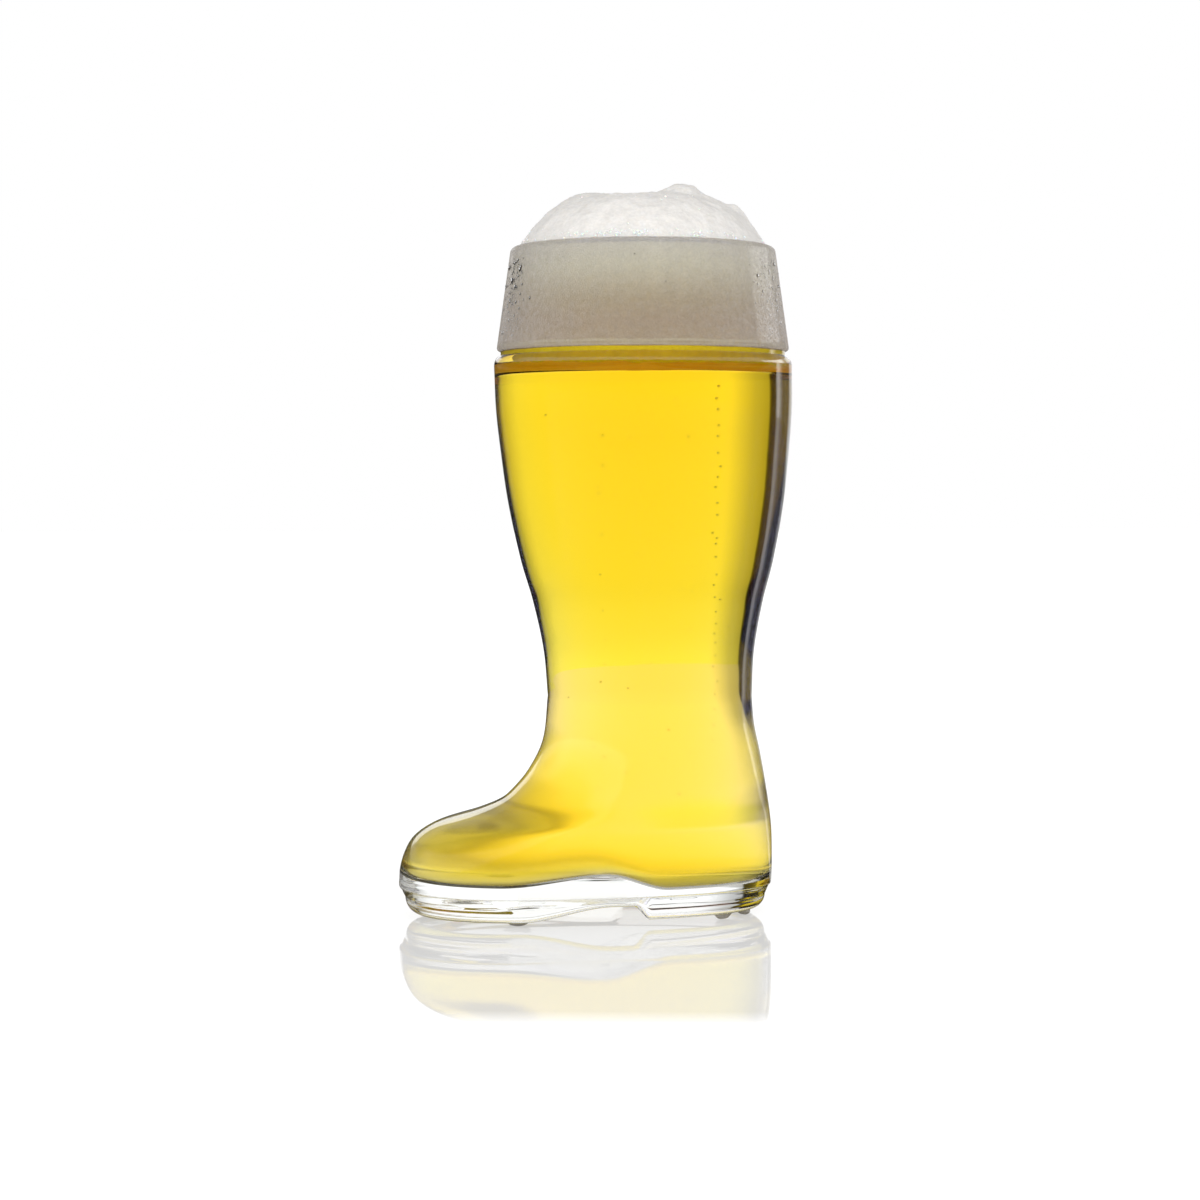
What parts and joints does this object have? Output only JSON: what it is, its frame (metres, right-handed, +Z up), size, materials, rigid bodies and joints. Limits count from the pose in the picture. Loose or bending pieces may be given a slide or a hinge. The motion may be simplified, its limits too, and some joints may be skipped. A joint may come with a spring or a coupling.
{
  "type": "beer boot glass",
  "caption": "Boot-shaped beer glass with a cuff, a groove, a narrow ankle and a thick clear sole, standing filled with lager under a head of foam.",
  "frame": {"origin": "middle of the outline's box at the table, under the nubs that the sole stands on", "axes": "+Z up through the mouth, -X towards the toe, +Y across the boot, which is alike on both sides"},
  "size_m": [0.1383, 0.1044, 0.2561],
  "materials": {
    "clear_glass": "polished",
    "lager": "gloss",
    "beer_foam": "matte"
  },
  "bodies": {
    "root": {"boot_glass": "clear_glass", "beer": "lager", "foam_head": "beer_foam"}
  },
  "joints": []
}
